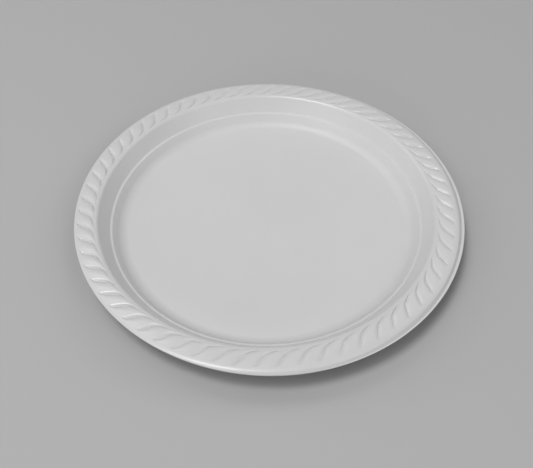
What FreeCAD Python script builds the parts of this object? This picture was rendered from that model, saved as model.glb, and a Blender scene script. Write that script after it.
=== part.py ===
"""Round disposable dinner plate with a rope rim, thermoformed from one thin plastic sheet.

The plate is a single skin of even thickness. Its moulded form is round about the mould axis: a flat floor,
a lower wall, a stacking ledge, an upper wall, a rounded bead, the band of rope strands, a smooth margin and
a turned-down skirt that ends in a narrow flange. The die that cuts the plate free of its sheet stood a
little off the mould axis, so the flange is widest on +X and almost gone on -X.
Millimetres, +Z up. The origin is under the floor, at the middle of the cut outline.
"""

import FreeCAD, Part
import math
import os

from FreeCAD import Vector

# Sheet and cut outline
plate_diameter = 260.0  # across the cut edge
cut_off_centre = 2.3  # the die's middle stands this far along +X from the mould axis
wall = 0.5  # thickness of the sheet

# Heights of the upper face over the floor's upper face
ledge_height = 7.9
bead_height = 18.4
margin_height = 18.4  # where the strands run out
skirt_drop = 2.5  # from there down to the flange

# Rim, from the skirt inwards
foot_past_cut = 0.5  # how far the skirt's foot would stand outside a cut set on the mould axis
skirt_slope = 48.0  # degrees from level
skirt_root_round = 0.9
crest_round = 3.5
margin_slope = 11.0  # degrees from level, falling outwards
margin_width = 1.4  # smooth margin between the strands and the crest's rounding
margin_land = 0.2  # level strip that the strands run out on
band_width = 10.5  # radial width of the rope band
bead_land = 0.8  # level strip between the strands and the bead's rounding
bead_round = 3.2
upper_wall_slope = 56.5  # degrees from level
ledge_width = 1.4
ledge_round = 1.1
lower_wall_slope = 54.5  # degrees from level
floor_round = 9.0  # soft turn from the lower wall into the floor

# Rope strands
strand_count = 64
first_groove = -1.25  # degrees from +X to the middle of the first groove
groove_depth = 0.7
back_fall_power = 5  # the higher, the nearer to the margin the strands' backs begin to fall
groove_lean = 0.6  # share of a pitch that a groove leans across the whole band
inner_sweep = 0.6  # share of a pitch that a groove's tail runs along the bead
outer_sweep = 0.2  # share of a pitch that its other tail runs along the margin
tail_sharpness = 10  # the higher, the closer the tails keep to bead and margin
inner_fade = 9  # the higher, the sooner a groove has its full depth beside the bead
outer_fade = 5  # the higher, the nearer to the margin a groove keeps its depth
band_stations = 6  # steps from bead to margin between the sections that a strand's face passes through
station_crowding = 1.6  # the higher, the closer those sections crowd to the bead, where the tail bends most
strand_stations = 2  # steps from one groove to the next, the fewest that draw an arch

NODE = "plate"
SEW_TOLERANCE = 0.002

cut_radius = plate_diameter / 2
flange_radius = cut_radius + foot_past_cut  # where the skirt meets the flange
sheet_radius = flange_radius + 2 * cut_off_centre + 4 * wall  # past the die's cut all round
pitch = 2 * math.pi / strand_count


def run_of(rise, slope):
    """Level distance covered while a wall at this slope rises that far."""
    return rise / math.tan(math.radians(slope))


def setback(radius, turn):
    """Distance from a corner to the start of its rounding, for a turn in degrees."""
    return radius * math.tan(math.radians(turn) / 2)


# The crest's corner, where the falling margin would meet the skirt
crest_setback = setback(crest_round, skirt_slope - margin_slope)
margin_run = margin_width + crest_setback * math.cos(math.radians(margin_slope))
margin_drop = margin_run * math.tan(math.radians(margin_slope))

# Radii of the corners of the upper face, worked out from the skirt inwards
crest_corner = flange_radius - run_of(skirt_drop - margin_drop, skirt_slope)
margin_start = crest_corner - margin_run
band_outer = margin_start - margin_land
band_inner = band_outer - band_width
bead_corner = band_inner - bead_land - setback(bead_round, upper_wall_slope)
ledge_outer = bead_corner - run_of(bead_height - ledge_height, upper_wall_slope)
ledge_inner = ledge_outer - ledge_width
floor_corner = ledge_inner - run_of(ledge_height, lower_wall_slope)

# Each corner is (radius from the axis, height, rounding)
INNER_CORNERS = [
    (0.0, 0.0, 0.0),
    (floor_corner, 0.0, floor_round),
    (ledge_inner, ledge_height, ledge_round),
    (ledge_outer, ledge_height, ledge_round),
    (bead_corner, bead_height, bead_round),
    (band_inner, bead_height, 0.0),
]
OUTER_CORNERS = [
    (band_outer, margin_height, 0.0),
    (margin_start, margin_height, 0.0),
    (crest_corner, margin_height - margin_drop, crest_round),
    (flange_radius, margin_height - skirt_drop, skirt_root_round),
    (sheet_radius, margin_height - skirt_drop, 0.0),
]


def heading(start, end):
    """Angle of the way from one corner to the next."""
    return math.atan2(end[1] - start[1], end[0] - start[0])


def under(corners):
    """The same run of corners one wall thickness below, measured square to the skin."""
    moved = []
    for i, (r, z, rounding) in enumerate(corners):
        before = heading(corners[i - 1], corners[i]) if i else heading(corners[0], corners[1])
        after = heading(corners[i], corners[i + 1]) if i + 1 < len(corners) else before
        middle = (before + after) / 2
        reach = wall / math.cos((after - before) / 2)
        turned = rounding + math.copysign(wall, after - before) if rounding else 0.0
        moved.append((r + reach * math.sin(middle), z - reach * math.cos(middle), max(turned, 0.0)))
    return moved


def rounded_path(corners):
    """Straight runs through the corners in the XZ plane, with a tangent arc at each rounded one."""
    edges = []
    here = Vector(corners[0][0], 0, corners[0][1])
    for i in range(1, len(corners)):
        r, z, rounding = corners[i]
        corner = Vector(r, 0, z)
        if not rounding:
            edges.append(Part.makeLine(here, corner))
            here = corner
            continue
        came = heading(corners[i - 1], corners[i])
        goes = heading(corners[i], corners[i + 1])
        cut = rounding * math.tan(abs(goes - came) / 2)
        start = corner - Vector(math.cos(came), 0, math.sin(came)) * cut
        end = corner + Vector(math.cos(goes), 0, math.sin(goes)) * cut
        bulge = rounding / math.cos(abs(goes - came) / 2) - rounding
        inward = (start + end) * 0.5 - corner
        middle = corner + inward.normalize() * bulge
        edges.append(Part.makeLine(here, start))
        edges.append(Part.Arc(start, middle, end).toShape())
        here = end
    return edges


def turned_faces(edges):
    """The skin's faces that are round about the mould axis."""
    return [e.revolve(Vector(0, 0, 0), Vector(0, 0, 1), 360) for e in edges]


def groove_shift(x):
    """How far round a groove stands, in pitches, at the share x of the way from bead to margin."""
    tails = inner_sweep * (1 - x) ** tail_sharpness - outer_sweep * x**tail_sharpness
    return groove_lean * (0.5 - x) + tails


def groove_share(x):
    """Share of the full groove depth at x: none at the bead and at the margin."""
    return (1 - (1 - x) ** inner_fade) * (1 - x**outer_fade)


def back_height(x):
    """Height of a strand's back: quickly up from the bead, then an even fall into the margin's slope."""
    fall = band_width * math.tan(math.radians(margin_slope)) / back_fall_power
    back = margin_height + fall * (1 - x**back_fall_power)
    return back - (back - bead_height) * (1 - x) ** inner_fade


def strand_point(x, u):
    """A point of one strand's back: x from bead to margin, u from its own groove to the next."""
    radius = band_inner + band_width * x
    angle = math.radians(first_groove) + pitch * (u + groove_shift(x))
    z = back_height(x) - groove_depth * groove_share(x) * (2 * u - 1) ** 2
    return Vector(radius * math.cos(angle), radius * math.sin(angle), z)


def strand_face():
    """The upper face of one strand, a smooth lobe between two S-shaped grooves."""
    grid = []
    for i in range(band_stations + 1):
        x = ((1 - math.cos(math.pi * i / band_stations)) / 2) ** station_crowding
        grid.append([strand_point(x, j / strand_stations) for j in range(strand_stations + 1)])
    surface = Part.BSplineSurface()
    surface.interpolate(grid)
    return surface.toShape()


def rope_band():
    """All the strands, copies of one, side by side round the mould axis."""
    strand = strand_face()
    faces = []
    for n in range(strand_count):
        copy = strand.copy()
        copy.rotate(Vector(0, 0, 0), Vector(0, 0, 1), 360.0 * n / strand_count)
        faces.append(copy)
    return faces


def strand_ends(strands, radius):
    """The closed ring of strand ends that lies on one circle about the mould axis."""
    ends = []
    for edge in (e for face in strands for e in face.Edges):
        if all(abs(math.hypot(p.x, p.y) - radius) < SEW_TOLERANCE for p in edge.discretize(3)):
            ends.append(edge)
    return Part.Wire(Part.__sortEdges__(ends))


def level_ring(radius, height, strands, band_edge):
    """The level strip from a circle to the strands, in one face that shares their end edges."""
    circle = Part.Wire(Part.makeCircle(radius, Vector(0, 0, height)))
    return Part.makeFace([circle, strand_ends(strands, band_edge)], "Part::FaceMakerBullseye")


def side_faces(inner_corners, strands, outer_corners):
    """Every face of one side of the skin, from the middle of the floor out to the flange."""
    inner_path = rounded_path(inner_corners)
    outer_path = rounded_path(outer_corners)
    land_start = inner_path[-1].Vertexes[0]
    margin_begin = outer_path[0].Vertexes[-1]
    faces = turned_faces(inner_path[:-1])
    faces.append(level_ring(land_start.X, land_start.Z, strands, band_inner))
    faces += strands
    faces.append(level_ring(margin_begin.X, margin_begin.Z, strands, band_outer))
    return faces + turned_faces(outer_path[1:])


def moulded_sheet():
    """The formed skin as one closed solid, before it is cut to its outline."""
    upper_strands = rope_band()
    under_strands = []
    for face in upper_strands:
        copy = face.copy()
        copy.translate(Vector(0, 0, -wall))
        under_strands.append(copy)
    faces = side_faces(INNER_CORNERS, upper_strands, OUTER_CORNERS)
    faces += side_faces(under(INNER_CORNERS), under_strands, under(OUTER_CORNERS))
    upper_end = Vector(OUTER_CORNERS[-1][0], 0, OUTER_CORNERS[-1][1])
    under_end = upper_end - Vector(0, 0, wall)
    faces += turned_faces([Part.makeLine(under_end, upper_end)])
    skin = Part.makeCompound(faces)
    skin.sewShape(SEW_TOLERANCE)
    solid = Part.Solid(skin.Shells[0])
    if solid.Volume < 0:
        solid.reverse()
    return solid


def cut_to_outline(sheet):
    """The plate inside the die's cut, which stands off the mould axis."""
    die = Part.makeCylinder(cut_radius, 4 * bead_height, Vector(cut_off_centre, 0, -bead_height))
    return sheet.common(die)


plate = cut_to_outline(moulded_sheet())
plate.translate(Vector(-cut_off_centre, 0, wall))
os.makedirs("parts", exist_ok=True)
plate.exportStep(f"parts/{NODE}.step")
box = plate.optimalBoundingBox()
print(f"{NODE}: {len(plate.Solids)} solid, {len(plate.Faces)} faces, valid {plate.isValid()}")
print(f"size {box.XLength:.2f} x {box.YLength:.2f} x {box.ZLength:.2f} mm")
print(f"volume {plate.Volume / 1000:.2f} cm3")
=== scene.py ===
# %% [markdown]
# # A disposable plate with a rope rim
# The real plate is one thin sheet of white polystyrene, softened by heat and drawn over a mould.
# That is why it has no thick and thin places: floor, walls, ledge, bead, rope strands and
# turned-down edge are all the same skin. The solid from the CAD step is loaded first, because it
# fixes the plate's size and place.

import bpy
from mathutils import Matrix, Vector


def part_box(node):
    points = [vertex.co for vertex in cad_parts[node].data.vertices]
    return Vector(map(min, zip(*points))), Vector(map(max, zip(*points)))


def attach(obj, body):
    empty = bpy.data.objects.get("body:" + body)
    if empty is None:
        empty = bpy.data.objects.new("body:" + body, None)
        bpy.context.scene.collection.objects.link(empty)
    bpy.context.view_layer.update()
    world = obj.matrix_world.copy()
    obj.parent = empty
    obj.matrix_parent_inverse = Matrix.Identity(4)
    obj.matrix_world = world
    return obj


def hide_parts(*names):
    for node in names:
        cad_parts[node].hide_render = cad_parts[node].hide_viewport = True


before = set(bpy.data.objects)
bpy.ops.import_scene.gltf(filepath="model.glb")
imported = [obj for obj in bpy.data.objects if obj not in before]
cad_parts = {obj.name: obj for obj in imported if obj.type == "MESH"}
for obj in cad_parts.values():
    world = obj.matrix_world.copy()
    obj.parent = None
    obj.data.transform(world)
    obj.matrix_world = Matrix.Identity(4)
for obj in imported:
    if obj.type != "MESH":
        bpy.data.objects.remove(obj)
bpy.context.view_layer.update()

import math

import bmesh
import bpy
from mathutils import Matrix, Vector

cad_low, cad_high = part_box("plate")
print("packed plate, mm:", [round(1000 * side, 2) for side in cad_high - cad_low])

# %% [markdown]
# # Sizes
# Everything is measured as a toolmaker would: heights stand over the upper face of the floor, and
# radii are taken from the mould's axis. The die that cuts the plate from its sheet stood a little
# off that axis, so the edge is wide on one side and almost gone on the other. Only the cut radius
# is read from the solid.

# %% Sizes of the mould and the cut
MM = 0.001
cut_radius = (cad_high.x - cad_low.x) / 2
cut_off_centre = 2.3 * MM
wall = 0.5 * MM

ledge_height = 7.9 * MM
bead_height = 18.4 * MM
margin_height = 18.4 * MM
skirt_drop = 2.5 * MM

foot_past_cut = 0.5 * MM
skirt_slope = math.radians(48.0)
skirt_root_round = 0.9 * MM
crest_round = 3.5 * MM
margin_slope = math.radians(11.0)
margin_width = 1.4 * MM
margin_land = 0.2 * MM
band_width = 11.0 * MM
bead_land = 0.3 * MM
bead_round = 3.2 * MM
upper_wall_slope = math.radians(56.5)
ledge_width = 1.4 * MM
ledge_round = 1.1 * MM
lower_wall_slope = math.radians(54.5)
floor_round = 9.0 * MM

flange_radius = cut_radius + foot_past_cut
sheet_radius = cut_radius + 2 * cut_off_centre
crest_setback = crest_round * math.tan((skirt_slope - margin_slope) / 2)
margin_run = margin_width + crest_setback * math.cos(margin_slope)
margin_drop = margin_run * math.tan(margin_slope)
crest_corner = flange_radius - (skirt_drop - margin_drop) / math.tan(skirt_slope)
margin_start = crest_corner - margin_run
band_outer = margin_start - margin_land
band_inner = band_outer - band_width
bead_corner = band_inner - bead_land - bead_round * math.tan(upper_wall_slope / 2)
ledge_outer = bead_corner - (bead_height - ledge_height) / math.tan(upper_wall_slope)
ledge_inner = ledge_outer - ledge_width
floor_corner = ledge_inner - ledge_height / math.tan(lower_wall_slope)
floor_ring = 0.3 * floor_corner
same_place = 0.01 * MM
print("rope band from", round(band_inner / MM, 2), "to", round(band_outer / MM, 2), "mm")

# %% [markdown]
# # Working in edit mode
# Two small helpers keep the later cells short. The first makes one object the only selected one,
# because an operator acts on all that is selected. The second picks vertices by their place, as a
# box select would.


# %% Helpers to choose what an operator acts on
def take(piece):
    """Leaves edit mode and makes this piece the only selected object, and the active one."""
    if bpy.context.mode != "OBJECT":
        bpy.ops.object.mode_set(mode="OBJECT")
    bpy.ops.object.select_all(action="DESELECT")
    piece.select_set(True)
    bpy.context.view_layer.objects.active = piece


def pick(piece, test):
    """In edit mode, selects the vertices whose place passes the test, and counts them."""
    mesh = bmesh.from_edit_mesh(piece.data)
    for vert in mesh.verts:
        vert.select_set(test(vert.co))
    mesh.select_flush(True)
    bmesh.update_edit_mesh(piece.data)
    return sum(vert.select for vert in mesh.verts)


# %% [markdown]
# # The profile
# A thermoformed plate is almost a turned shape, so one half of its section is drawn first, as a
# chain of vertices from the middle of the floor to the flange. A straight run is one extrusion.
# Each rounding is the end vertex spun about the rounding's centre, which keeps it tangent to the
# runs on both sides. Drawing by spins, and not with a bevel afterwards, gives every rounding its
# own radius and its own number of steps.


# %% Draw straight runs and roundings from the end vertex
def heading(start, end):
    """Angle of the way from one corner to the next, up from level."""
    return math.atan2(end[1] - start[1], end[0] - start[0])


def draw_profile(corners, here):
    """Draws on through corners (radius, height, rounding, steps) and returns the last place."""
    for i, (radius, height, rounding, steps) in enumerate(corners):
        corner = Vector((radius, 0, height))
        if not rounding:
            bpy.ops.mesh.extrude_vertices_move(TRANSFORM_OT_translate={"value": corner - here})
            here = corner
            continue
        came = heading((here.x, here.z), corner.xz)
        turn = heading(corner.xz, corners[i + 1]) - came
        tangent = rounding * math.tan(abs(turn) / 2)
        start = corner - tangent * Vector((math.cos(came), 0, math.sin(came)))
        side = math.copysign(rounding, turn)
        centre = start + side * Vector((-math.sin(came), 0, math.cos(came)))
        bpy.ops.mesh.extrude_vertices_move(TRANSFORM_OT_translate={"value": start - here})
        bpy.ops.mesh.spin(steps=steps, angle=turn, center=centre, axis=(0, 1, 0))
        goes = came + turn
        here = corner + tangent * Vector((math.cos(goes), 0, math.sin(goes)))
    return here


# %% [markdown]
# # Rows across the rope band
# The strands need rows of vertices across the band. Each row is known by its share of the way from
# bead to margin. The rows crowd towards the bead, because there the grooves bend into their thin
# tails.

# %% Rows of the rope band
band_rows = 20
row_crowding = 1.3
back_rise_power = 9
back_fall_power = 5.3


def row_share(i):
    """Share of the way across the band at row i."""
    return ((1 - math.cos(math.pi * i / band_rows)) / 2) ** row_crowding


def row_radius(share):
    """Radius of a row about the mould's axis."""
    return band_inner + band_width * share


def back_height(share):
    """Height of a strand's back: quickly up from the bead, then an even fall into the margin."""
    fall = band_width * math.tan(margin_slope) / back_fall_power
    back = margin_height + fall * (1 - share**back_fall_power)
    return back - (back - bead_height) * (1 - share) ** back_rise_power


shares = [row_share(i) for i in range(band_rows + 1)]

# %% Draw the whole profile
# Each corner is (radius, height, rounding, steps of the rounding).
inner_corners = [
    (floor_ring, 0.0, 0.0, 0),
    (floor_corner, 0.0, floor_round, 10),
    (ledge_inner, ledge_height, ledge_round, 4),
    (ledge_outer, ledge_height, ledge_round, 4),
    (bead_corner, bead_height, bead_round, 7),
    (band_inner, bead_height, 0.0, 0),
]
outer_corners = [
    (margin_start, margin_height, 0.0, 0),
    (crest_corner, margin_height - margin_drop, crest_round, 7),
    (flange_radius, margin_height - skirt_drop, skirt_root_round, 5),
    (sheet_radius, margin_height - skirt_drop, 0.0, 0),
]
strand_corners = [(row_radius(share), back_height(share), 0.0, 0) for share in shares[1:]]

bpy.ops.object.select_all(action="DESELECT")
bpy.ops.mesh.primitive_plane_add(size=MM)
plate = bpy.context.object
plate.name = "plate_skin"
plate.data.name = "plate_skin"
take(plate)
bpy.ops.object.mode_set(mode="EDIT")
bpy.ops.mesh.merge(type="CENTER")
end = draw_profile(inner_corners, Vector((0, 0, 0)))
end = draw_profile(strand_corners, end)
draw_profile(outer_corners, end)
bpy.ops.object.mode_set(mode="OBJECT")
print("profile:", len(plate.data.vertices), "vertices, ends at", round(end.x / MM, 2), "mm")

# %% [markdown]
# # One wedge of the plate
# The rope repeats sixty-four times, so only one sixty-fourth of the plate is modelled: a wedge
# that holds one strand, from the middle of one groove to the middle of the next. The profile is
# spun in small steps. The steps are narrow beside the grooves, where the surface turns fastest,
# and wide on the strand's back.

# %% Spin the profile through one strand
strand_count = 64
pitch = 2 * math.pi / strand_count
first_groove = math.radians(-1.25)
# Shares of the way from one groove to the next.
columns = [0.0, 0.03, 0.06, 0.1, 0.16, 0.27, 0.5, 0.73, 0.84, 0.9, 0.94, 0.97, 1.0]

take(plate)
bpy.ops.object.mode_set(mode="EDIT")
bpy.ops.mesh.select_all(action="SELECT")
bpy.ops.transform.rotate(value=-first_groove, orient_axis="Z", center_override=(0, 0, 0))
for start, stop in zip(columns, columns[1:]):
    bpy.ops.mesh.spin(steps=1, angle=(stop - start) * pitch, center=(0, 0, 0), axis=(0, 0, -1))
bpy.ops.object.mode_set(mode="OBJECT")
outer_places = [v.co for v in plate.data.vertices if v.co.xy.length > band_inner]
angles = [math.degrees(math.atan2(place.y, place.x)) for place in outer_places]
print("wedge from", round(min(angles), 3), "to", round(max(angles), 3), "degrees")

# %% [markdown]
# # The strand
# The wedge is still smooth. The strand is made in two moves. First the columns near both sides are
# pushed down, which arches the band from groove to groove. Then each row is flattened a little
# towards its own level, where grooves run out beside bead and margin, and turned about the mould's
# axis, which bends the straight grooves into their leaning S with a thin tail along the bead. The
# solid holds the same strands with shallow grooves. Here they are deeper and narrower, because
# that dark line between broad, smooth backs is what makes the rope read from afar.

# %% Arch the band from groove to groove
groove_depth = 1.65 * MM
groove_power = 5
valley_softness = 0.15
same_angle = 0.001


def band_vertex(place):
    """Whether a vertex lies on the rope band, its two edges left out."""
    return band_inner + same_place < place.xy.length < band_outer - same_place


def band_column(angle):
    """A test for the band's vertices that stand at this angle about the axis."""
    return lambda place: (
        band_vertex(place) and abs(math.atan2(place.y, place.x) - angle) < same_angle
    )


take(plate)
bpy.ops.object.mode_set(mode="EDIT")
for column in columns:
    sink = min(abs(2 * column - 1) ** groove_power, 1 - valley_softness)
    picked = pick(plate, band_column(first_groove + column * pitch))
    if sink:
        bpy.ops.transform.translate(value=(0, 0, -groove_depth * sink))
print("each column of the band holds", picked, "vertices")

# %% Fade and lean each row
groove_lean = 0.64
inner_sweep = 0.6
outer_sweep = 0.05
tail_sharpness = 9
inner_fade = 14
outer_fade = 6


def depth_share(share):
    """Share of the full groove depth: none at the bead and at the margin."""
    return (1 - (1 - share) ** inner_fade) * (1 - share**outer_fade)


def lean(share):
    """How far round a groove stands, in pitches: a straight lean with a tail at both ends."""
    tails = inner_sweep * (1 - share) ** tail_sharpness - outer_sweep * share**tail_sharpness
    return groove_lean * (0.5 - share) + tails


for share in shares:
    radius = row_radius(share)
    pick(plate, lambda place: abs(place.xy.length - radius) < same_place)
    level = (0, 0, back_height(share))
    bpy.ops.transform.resize(value=(1, 1, depth_share(share)), center_override=level)
    swing = -lean(share) * pitch
    bpy.ops.transform.rotate(value=swing, orient_axis="Z", center_override=(0, 0, 0))
bpy.ops.object.mode_set(mode="OBJECT")
heights = [v.co.z / MM for v in plate.data.vertices if band_vertex(v.co)]
print("strand heights from", round(min(heights), 2), "to", round(max(heights), 2), "mm")

# %% [markdown]
# # All round
# Spinning with duplicates copies the wedge sixty-three times. Where two wedges meet, their edge
# vertices lie on the same places, so merging by distance welds them into one skin, and closes the
# pole at the middle.

# %% Copy the wedge round the axis and weld it
take(plate)
bpy.ops.object.mode_set(mode="EDIT")
bpy.ops.mesh.select_all(action="SELECT")
copies = strand_count - 1
bpy.ops.mesh.spin(
    steps=copies, dupli=True, angle=copies * pitch, center=(0, 0, 0), axis=(0, 0, -1)
)
bpy.ops.mesh.select_all(action="SELECT")
bpy.ops.mesh.remove_doubles(threshold=same_place)
bpy.ops.mesh.normals_make_consistent(inside=False)
bpy.ops.transform.translate(value=(-cut_off_centre, 0, wall))
bpy.ops.object.mode_set(mode="OBJECT")
print("skin:", len(plate.data.vertices), "vertices,", len(plate.data.polygons), "faces")

# %% [markdown]
# # Thickness and cut
# Solidify gives the skin its wall, downwards, because the upper face is the one that was measured.
# The die's cut is a boolean with a plain cylinder: it leaves the crisp upright edge that such
# plates have.

# %% Give the skin its wall
take(plate)
up = sum(face.normal.z for face in plate.data.polygons) / len(plate.data.polygons)
solidify = plate.modifiers.new("wall", "SOLIDIFY")
solidify.thickness = wall
solidify.offset = -1
solidify.use_even_offset = True
bpy.ops.object.modifier_apply(modifier=solidify.name)
print("mean upward normal", round(up, 2), "; walled:", len(plate.data.polygons), "faces")

# %% Cut the plate from its sheet
die_sides = 512
crease_angle = math.radians(40)
bpy.ops.object.select_all(action="DESELECT")
bpy.ops.mesh.primitive_cylinder_add(
    vertices=die_sides, radius=cut_radius, depth=10 * bead_height
)
die = bpy.context.object
take(plate)
cut = plate.modifiers.new("cut", "BOOLEAN")
cut.operation = "INTERSECT"
cut.solver = "EXACT"
cut.object = die
bpy.ops.object.modifier_apply(modifier=cut.name)
bpy.data.objects.remove(die)
bpy.ops.object.shade_smooth_by_angle(angle=crease_angle)
plate.data.calc_loop_triangles()
print("cut plate:", len(plate.data.loop_triangles), "triangles")
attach(plate, "root")
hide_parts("plate")

# %% [markdown]
# # Shader maths as plain expressions
# A material is easier to read as a formula than as boxes and wires. This small class wraps one
# socket, so that an expression such as `0.3 + 0.1 * mottle` adds the Math nodes by itself. One
# method adds any other kind of node: its settings are made first, and then its sockets get their
# values or links.


# %% A socket that can be calculated with
class Value:
    """One output socket of a material's or a world's node tree."""

    def __init__(self, tree, socket):
        self.tree = tree
        self.socket = socket

    def into(self, socket):
        """Links this value to an input socket."""
        self.tree.links.new(self.socket, socket)

    def node(self, kind, output, settings=None, **inputs):
        """Adds a node, with its sockets given by identifier, and returns one output."""
        made = self.tree.nodes.new(kind)
        for name, setting in (settings or {}).items():
            setattr(made, name, setting)
        sockets = {socket.identifier: socket for socket in made.inputs}
        for name, given in inputs.items():
            if isinstance(given, Value):
                given.into(sockets[name])
            else:
                sockets[name].default_value = given
        results = {socket.identifier: socket for socket in made.outputs}
        return Value(self.tree, results[output])

    def math(self, operation, first, second):
        """Adds a Math node on two terms, each a value or a number."""
        terms = {"Value": first, "Value_001": second}
        return self.node("ShaderNodeMath", "Value", {"operation": operation}, **terms)

    def __add__(self, other):
        return self.math("ADD", self, other)

    def __sub__(self, other):
        return self.math("SUBTRACT", self, other)

    def __rsub__(self, other):
        return self.math("SUBTRACT", other, self)

    def __mul__(self, other):
        return self.math("MULTIPLY", self, other)

    __radd__ = __add__
    __rmul__ = __mul__


def first_value(tree, kind, output):
    """The named output of a new node that needs no input, such as Texture Coordinate."""
    return Value(tree, tree.nodes.new(kind).outputs[output])


# %% [markdown]
# # White polystyrene
# The plate's plastic is a plain neutral white with a soft gloss. It is never quite even: the sheet
# is a little thicker here and thinner there, so its white clouds slightly, and the floor, which
# was drawn hard against the mould, takes the mould's matt grain in faint patches. The rim keeps
# the gloss of the sheet, which is what makes its strands and bead glint. So the gloss is graded by
# the distance from the mould's axis, and three noises of different scale do the rest: clouds a few
# centimetres wide, matt patches, and a fine grain for the skin. The waves are real height, so they
# go through Bump and not into the colour.

# %% The plate's material
CLOUDY_WHITE = (0.66, 0.66, 0.66, 1.0)
CLEAR_WHITE = (0.70, 0.70, 0.70, 1.0)
CLOUDS_PER_METRE = 28.0
PATCHES_PER_METRE = 75.0
GRAINS_PER_METRE = 900.0
MOULD_ROUGHNESS = 0.40
RIM_ROUGHNESS = 0.26
UNEVEN_ROUGHNESS = 0.06
WAVE_HEIGHT = 0.030 * MM
GRAIN_HEIGHT = 0.0012 * MM
POLYSTYRENE_IOR = 1.55

plastic = bpy.data.materials.new("white_polystyrene")
plastic.use_nodes = True
tree = plastic.node_tree
shader = tree.nodes["Principled BSDF"]
shader.inputs["IOR"].default_value = POLYSTYRENE_IOR

place = first_value(tree, "ShaderNodeTexCoord", "Object")
clouds = place.node(
    "ShaderNodeTexNoise",
    "Fac",
    Vector=place,
    Scale=CLOUDS_PER_METRE,
    Detail=3.0,
    Roughness=0.55,
)
patches = place.node(
    "ShaderNodeTexNoise", "Fac", Vector=place, Scale=PATCHES_PER_METRE, Detail=2.0
)
grain = place.node(
    "ShaderNodeTexNoise", "Fac", Vector=place, Scale=GRAINS_PER_METRE, Detail=2.0
)

tint = clouds.node(
    "ShaderNodeMix",
    "Result_Color",
    {"data_type": "RGBA"},
    Factor_Float=0.7 * clouds + 0.3 * grain,
    A_Color=CLOUDY_WHITE,
    B_Color=CLEAR_WHITE,
)
tint.into(shader.inputs["Base Color"])

across = place.node(
    "ShaderNodeVectorMath",
    "Vector",
    {"operation": "MULTIPLY_ADD"},
    Vector=place,
    Vector_001=(1.0, 1.0, 0.0),
    Vector_002=(cut_off_centre, 0.0, 0.0),
)
from_axis = across.node("ShaderNodeVectorMath", "Value", {"operation": "LENGTH"}, Vector=across)
rim = from_axis.node(
    "ShaderNodeMapRange",
    "Result",
    {"interpolation_type": "SMOOTHSTEP"},
    Value=from_axis,
    **{"From Min": floor_corner, "From Max": band_inner},
)
mould_matt = MOULD_ROUGHNESS + UNEVEN_ROUGHNESS * clouds + UNEVEN_ROUGHNESS * patches
(mould_matt * (1 - rim) + RIM_ROUGHNESS * rim).into(shader.inputs["Roughness"])

skin_height = WAVE_HEIGHT * clouds + GRAIN_HEIGHT * grain
skin = skin_height.node("ShaderNodeBump", "Normal", Distance=1.0, Strength=1.0, Height=skin_height)
skin.into(shader.inputs["Normal"])
plate.data.materials.clear()
plate.data.materials.append(plastic)
print("material:", len(tree.nodes), "nodes")

# %% [markdown]
# # Studio floor
# The plate stands on a plain pale floor, a large round disc a hair below it, so that no two faces
# lie in one plane and the disc's edge reads as a level horizon. A large pale floor would throw
# much light up under the rim, which flattens the turned-down edge. So the floor's colour asks the
# light path who is looking: the camera and the reflections see it pale, with the plate's shadow on
# it, and only light that bounces off it finds it darker.

# %% The floor and its paint
PALE = 0.5
BOUNCE = 0.06
PAINT_ROUGHNESS = 0.9
floor_radius = 1.5
floor_drop = 0.05 * MM


def seen_directly(tree):
    """One for camera, glossy and transmission rays, and zero for the rest."""
    rays = tree.nodes.new("ShaderNodeLightPath").outputs
    kinds = ("Is Camera Ray", "Is Glossy Ray", "Is Transmission Ray")
    camera_ray, glossy_ray, transmission_ray = (Value(tree, rays[kind]) for kind in kinds)
    return camera_ray + glossy_ray + transmission_ray


bpy.ops.object.select_all(action="DESELECT")
bpy.ops.mesh.primitive_circle_add(
    vertices=128, radius=floor_radius, fill_type="NGON", location=(0, 0, -floor_drop)
)
floor = bpy.context.object
floor.name = "studio_floor"
paint = bpy.data.materials.new("studio_floor")
paint.use_nodes = True
paint_shader = paint.node_tree.nodes["Principled BSDF"]
paint_shader.inputs["Roughness"].default_value = PAINT_ROUGHNESS
seen = seen_directly(paint.node_tree)
floor_colour = seen.node(
    "ShaderNodeMix",
    "Result_Color",
    {"data_type": "RGBA"},
    Factor_Float=seen,
    A_Color=(BOUNCE, BOUNCE, BOUNCE, 1.0),
    B_Color=(PALE, PALE, PALE, 1.0),
)
floor_colour.into(paint_shader.inputs["Base Color"])
floor.data.materials.append(paint)

# %% [markdown]
# # World
# The room around is as pale as the floor to the camera and to the reflections, and gives next to
# no light itself, so that the lamps alone draw the shapes.

# %% The room
ROOM_LIGHT = 0.07
world = bpy.data.worlds.new("studio")
world.use_nodes = True
room = world.node_tree.nodes["Background"]
room.inputs["Color"].default_value = (1, 1, 1, 1)
seen = seen_directly(world.node_tree)
(ROOM_LIGHT + (PALE - ROOM_LIGHT) * seen).into(room.inputs["Strength"])
scene = bpy.context.scene
scene.world = world
scene.view_settings.view_transform = "Standard"

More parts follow.
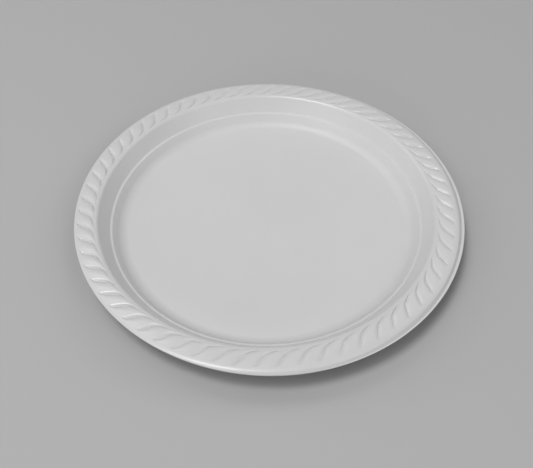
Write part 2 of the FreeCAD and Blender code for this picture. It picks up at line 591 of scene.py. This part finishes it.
# %% [markdown]
# # Camera
# The camera looks down at the plate from in front, close enough for the near rim to be drawn
# larger than the far one. It is set by what a photographer would write down: the point aimed at,
# the distance, the angle above level, the lens, and a very small roll.

# %% The camera
view_elevation = math.radians(49.67)
view_roll = math.radians(0.44)
view_distance = 0.4571
aim = Vector((-cut_off_centre + 0.2 * MM, -28.2 * MM, 19.0 * MM))
lens = bpy.data.cameras.new("studio_camera")
lens.lens = 47.57
lens.sensor_width = 36.0
lens.clip_start = 0.01
camera = bpy.data.objects.new("studio_camera", lens)
scene.collection.objects.link(camera)
away = Vector((0, -math.cos(view_elevation), math.sin(view_elevation)))
tilt = Matrix.Rotation(math.pi / 2 - view_elevation, 4, "X")
roll = Matrix.Rotation(-view_roll, 4, "Z")
camera.matrix_world = Matrix.Translation(aim + view_distance * away) @ tilt @ roll
scene.camera = camera

# %% [markdown]
# # Lamps
# Large square lamps stand in a dome round the plate and all face its middle. Each is given by the
# direction it shines from, its size and its share of the light. A lamp of share s at distance d
# lights a surface that faces it as a sun of strength pi * s would, which takes pi * pi * s * d * d
# watts.

# %% The lamps
lamp_distance = 2.2


def lamp(name, azimuth, elevation, size, share):
    """A square lamp that faces the plate, its direction in degrees from +X and from level."""
    light = bpy.data.lights.new(name, "AREA")
    light.size = size
    light.energy = math.pi**2 * share * lamp_distance**2
    holder = bpy.data.objects.new(name, light)
    scene.collection.objects.link(holder)
    around, up = math.radians(azimuth), math.radians(elevation)
    direction = Vector(
        (math.cos(up) * math.cos(around), math.cos(up) * math.sin(around), math.sin(up))
    )
    holder.location = lamp_distance * direction
    holder.rotation_euler = direction.to_track_quat("Z", "Y").to_euler()


lamp("lamp_over_left", 210, 74, 0.65, 0.335)
lamp("lamp_near_left", 225, 55, 1.2, 0.190)
lamp("lamp_low_left", 232, 12, 1.0, 0.140)
lamp("lamp_low_near", 270, 12, 0.8, 0.110)
lamp("lamp_near_right", 317, 45, 1.0, 0.105)
lamp("lamp_left", 155, 30, 1.0, 0.095)
lamp("lamp_right", 20, 30, 1.0, 0.085)
lamp("lamp_back", 127, 58, 0.5, 0.060)
lamp("lamp_back_right", 60, 50, 1.0, 0.060)
